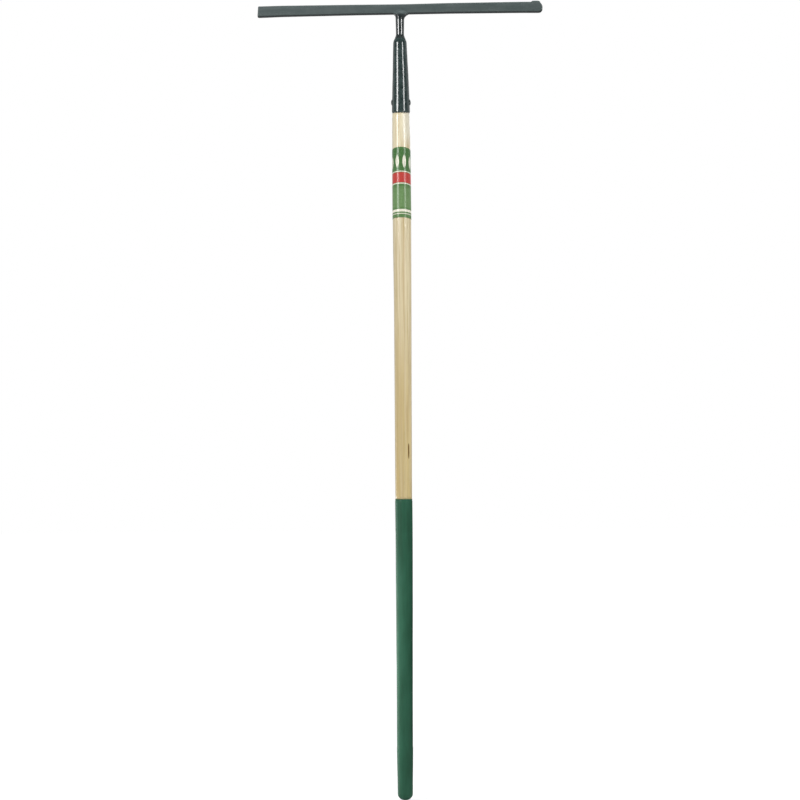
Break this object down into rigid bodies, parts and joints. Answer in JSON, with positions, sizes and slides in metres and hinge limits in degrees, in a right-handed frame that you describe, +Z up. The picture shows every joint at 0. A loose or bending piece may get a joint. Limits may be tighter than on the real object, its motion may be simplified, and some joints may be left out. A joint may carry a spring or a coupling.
{
  "type": "garden rake",
  "caption": "Long-handled garden rake: welded straight bar head with tapered tines, riveted tapered socket, turned wooden shaft with a wrapped label and a domed grip sleeve.",
  "frame": {"origin": "on the shaft's axis in the plane of the bar's underside at the neck, where a two-pronged wall hook carries the hung tool", "axes": "+Z up along the shaft towards the bar, +X along the bar, +Y the way the tines point"},
  "size_m": [0.466, 0.0872, 1.2975],
  "materials": {
    "bar_paint": "dark green-grey hammered paint",
    "tine_paint": "dark green-grey hammered paint",
    "weld_paint": "weld bead under dark green-grey paint",
    "neck_paint": "glossy dark green-grey hammered paint",
    "socket_paint": "glossy dark green-grey hammered paint",
    "rivet_paint": "painted domed rivet",
    "shaft_wood": "turned pale ash under clear lacquer",
    "label_film": "printed green film",
    "sleeve_vinyl": "smooth satin green vinyl"
  },
  "bodies": {
    "root": {"head_bar": "bar_paint", "tine_01": "tine_paint", "tine_02": "tine_paint", "tine_03": "tine_paint", "tine_04": "tine_paint", "tine_05": "tine_paint", "tine_06": "tine_paint", "tine_07": "tine_paint", "tine_08": "tine_paint", "tine_09": "tine_paint", "tine_10": "tine_paint", "tine_11": "tine_paint", "tine_12": "tine_paint", "tine_13": "tine_paint", "tine_14": "tine_paint", "tine_15": "tine_paint", "tine_16": "tine_paint", "neck_weld": "weld_paint", "neck_rod": "neck_paint", "socket_bead": "weld_paint", "socket": "socket_paint", "socket_rivet": "rivet_paint", "shaft": "shaft_wood", "label_wrap": "label_film", "grip_sleeve": "sleeve_vinyl"}
  },
  "joints": []
}
